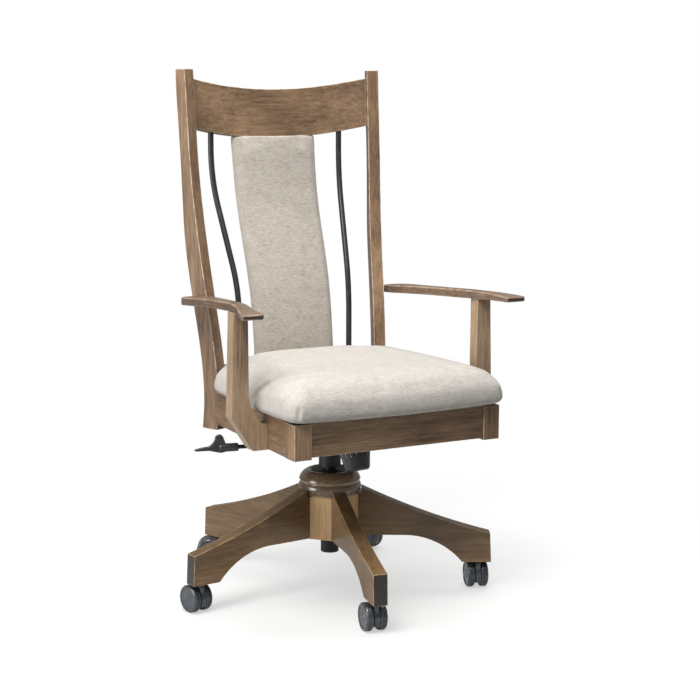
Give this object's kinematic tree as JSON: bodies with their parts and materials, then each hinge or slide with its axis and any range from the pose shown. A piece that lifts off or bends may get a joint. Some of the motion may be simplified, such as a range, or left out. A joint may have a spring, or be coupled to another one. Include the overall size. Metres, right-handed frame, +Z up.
{
  "type": "desk chair",
  "caption": "High-back wooden desk chair on a swivel star base with casters, gas lift and tilt, upholstered seat and splat, bowed crest rail, metal back rods and open arms.",
  "frame": {"origin": "on the floor under the axis of the gas lift", "axes": "+Z up, -Y the way the sitter faces, +X to the sitter's left"},
  "size_m": [0.697, 0.6987, 1.147],
  "materials": {
    "stained_wood": "satin grey-brown stain, worn lighter edges",
    "base_wood": "satin brown stain",
    "hidden_wood": "raw plywood and hardwood",
    "seat_fabric": "pale greige chenille",
    "back_fabric": "pale greige chenille",
    "rod_metal": "gunmetal satin",
    "black_metal": "black powder coat",
    "lift_steel": "black satin",
    "bright_steel": "zinc plated",
    "black_plastic": "moulded, fine grain",
    "caster_plastic": "moulded nylon, satin"
  },
  "bodies": {
    "base": {"base_hub": "base_wood", "base_leg_1": "base_wood", "base_leg_2": "base_wood", "base_leg_3": "base_wood", "base_leg_4": "base_wood", "base_leg_5": "base_wood", "hub_cap": "base_wood", "gas_tube": "lift_steel", "caster_stems": "bright_steel"},
    "piston_rod": {"lift_rod": "bright_steel"},
    "carriage": {"gas_spring": "lift_steel", "mechanism_housing": "black_metal", "tilt_pin": "bright_steel", "tilt_spring": "bright_steel"},
    "seat": {"seat_bracket": "black_metal", "cross_cleats": "hidden_wood", "seat_board": "hidden_wood", "front_rail": "stained_wood", "side_rail_right": "stained_wood", "side_rail_left": "stained_wood", "rear_rail": "stained_wood", "corner_block_right": "stained_wood", "corner_block_left": "stained_wood", "seat_cushion": "seat_fabric", "rear_post_right": "stained_wood", "rear_post_left": "stained_wood", "crest_rail": "stained_wood", "lower_back_rail": "stained_wood", "back_rod_right": "rod_metal", "back_rod_left": "rod_metal", "back_splat": "back_fabric", "arm_right": "stained_wood", "arm_left": "stained_wood", "arm_support_right": "stained_wood", "arm_support_left": "stained_wood", "support_screws": "bright_steel"},
    "lever": {"lever_rod": "black_metal", "lever_handle": "black_plastic"},
    "tension": {"tension_knob": "black_plastic", "tension_bolt": "bright_steel"},
    "caster_1": {"caster_hood_1": "caster_plastic", "caster_axle_1": "bright_steel"},
    "wheel_1_a": {"caster_wheel_1_a": "caster_plastic"},
    "wheel_1_b": {"caster_wheel_1_b": "caster_plastic"},
    "caster_2": {"caster_hood_2": "caster_plastic", "caster_axle_2": "bright_steel"},
    "wheel_2_a": {"caster_wheel_2_a": "caster_plastic"},
    "wheel_2_b": {"caster_wheel_2_b": "caster_plastic"},
    "caster_3": {"caster_hood_3": "caster_plastic", "caster_axle_3": "bright_steel"},
    "wheel_3_a": {"caster_wheel_3_a": "caster_plastic"},
    "wheel_3_b": {"caster_wheel_3_b": "caster_plastic"},
    "caster_4": {"caster_hood_4": "caster_plastic", "caster_axle_4": "bright_steel"},
    "wheel_4_a": {"caster_wheel_4_a": "caster_plastic"},
    "wheel_4_b": {"caster_wheel_4_b": "caster_plastic"},
    "caster_5": {"caster_hood_5": "caster_plastic", "caster_axle_5": "bright_steel"},
    "wheel_5_a": {"caster_wheel_5_a": "caster_plastic"},
    "wheel_5_b": {"caster_wheel_5_b": "caster_plastic"}
  },
  "joints": [
    {"name": "seat_swivel", "type": "hinge", "parent": "base", "child": "piston_rod", "pos_m": [0, 0, 0.09], "axis": [0, 0, 1], "continuous": true},
    {"name": "height_lift", "type": "slide", "parent": "piston_rod", "child": "carriage", "axis": [0, 0, 1], "range_m": [0, 0.1]},
    {"name": "seat_tilt", "type": "hinge", "parent": "carriage", "child": "seat", "pos_m": [0, -0.05, 0.35296], "axis": [-1, 0, 0], "range_deg": [0, 10], "stiffness_Nm_per_rad": 120, "springref_deg": -20.05},
    {"name": "height_lever", "type": "hinge", "parent": "carriage", "child": "lever", "pos_m": [-0.0515, 0.024, 0.33], "axis": [0.225, 0.9744, 0], "range_deg": [0, 3.5], "stiffness_Nm_per_rad": 3, "springref_deg": -5.73},
    {"name": "tension_turn", "type": "hinge", "parent": "carriage", "child": "tension", "pos_m": [0, -0.113, 0.333], "axis": [0, 0.309, 0.9511], "range_deg": [-360, 360]},
    {"name": "caster_swivel_1", "type": "hinge", "parent": "base", "child": "caster_1", "pos_m": [-0.06712, -0.32412, 0.05], "axis": [0, 0, 1], "continuous": true},
    {"name": "wheel_roll_1_a", "type": "hinge", "parent": "caster_1", "child": "wheel_1_a", "pos_m": [-0.06399, -0.30437, 0.03], "axis": [-0.9877, 0.1564, 0], "continuous": true},
    {"name": "wheel_roll_1_b", "type": "hinge", "parent": "caster_1", "child": "wheel_1_b", "pos_m": [-0.06399, -0.30437, 0.03], "axis": [-0.9877, 0.1564, 0], "continuous": true},
    {"name": "caster_swivel_2", "type": "hinge", "parent": "base", "child": "caster_2", "pos_m": [0.28752, -0.164, 0.05], "axis": [0, 0, 1], "continuous": true},
    {"name": "wheel_roll_2_a", "type": "hinge", "parent": "caster_2", "child": "wheel_2_a", "pos_m": [0.29403, -0.14509, 0.03], "axis": [-0.9455, 0.3256, 0], "continuous": true},
    {"name": "wheel_roll_2_b", "type": "hinge", "parent": "caster_2", "child": "wheel_2_b", "pos_m": [0.29403, -0.14509, 0.03], "axis": [-0.9455, 0.3256, 0], "continuous": true},
    {"name": "caster_swivel_3", "type": "hinge", "parent": "base", "child": "caster_3", "pos_m": [0.24482, 0.22277, 0.05], "axis": [0, 0, 1], "continuous": true},
    {"name": "wheel_roll_3_a", "type": "hinge", "parent": "caster_3", "child": "wheel_3_a", "pos_m": [0.23637, 0.24089, 0.03], "axis": [-0.9063, -0.4226, 0], "continuous": true},
    {"name": "wheel_roll_3_b", "type": "hinge", "parent": "caster_3", "child": "wheel_3_b", "pos_m": [0.23637, 0.24089, 0.03], "axis": [-0.9063, -0.4226, 0], "continuous": true},
    {"name": "caster_swivel_4", "type": "hinge", "parent": "base", "child": "caster_4", "pos_m": [-0.13621, 0.30167, 0.05], "axis": [0, 0, 1], "continuous": true},
    {"name": "wheel_roll_4_a", "type": "hinge", "parent": "caster_4", "child": "wheel_4_a", "pos_m": [-0.15387, 0.31106, 0.03], "axis": [-0.4695, -0.8829, 0], "continuous": true},
    {"name": "wheel_roll_4_b", "type": "hinge", "parent": "caster_4", "child": "wheel_4_b", "pos_m": [-0.15387, 0.31106, 0.03], "axis": [-0.4695, -0.8829, 0], "continuous": true},
    {"name": "caster_swivel_5", "type": "hinge", "parent": "base", "child": "caster_5", "pos_m": [-0.329, -0.03632, 0.05], "axis": [0, 0, 1], "continuous": true},
    {"name": "wheel_roll_5_a", "type": "hinge", "parent": "caster_5", "child": "wheel_5_a", "pos_m": [-0.3335, -0.01683, 0.03], "axis": [-0.9744, -0.225, 0], "continuous": true},
    {"name": "wheel_roll_5_b", "type": "hinge", "parent": "caster_5", "child": "wheel_5_b", "pos_m": [-0.3335, -0.01683, 0.03], "axis": [-0.9744, -0.225, 0], "continuous": true}
  ]
}
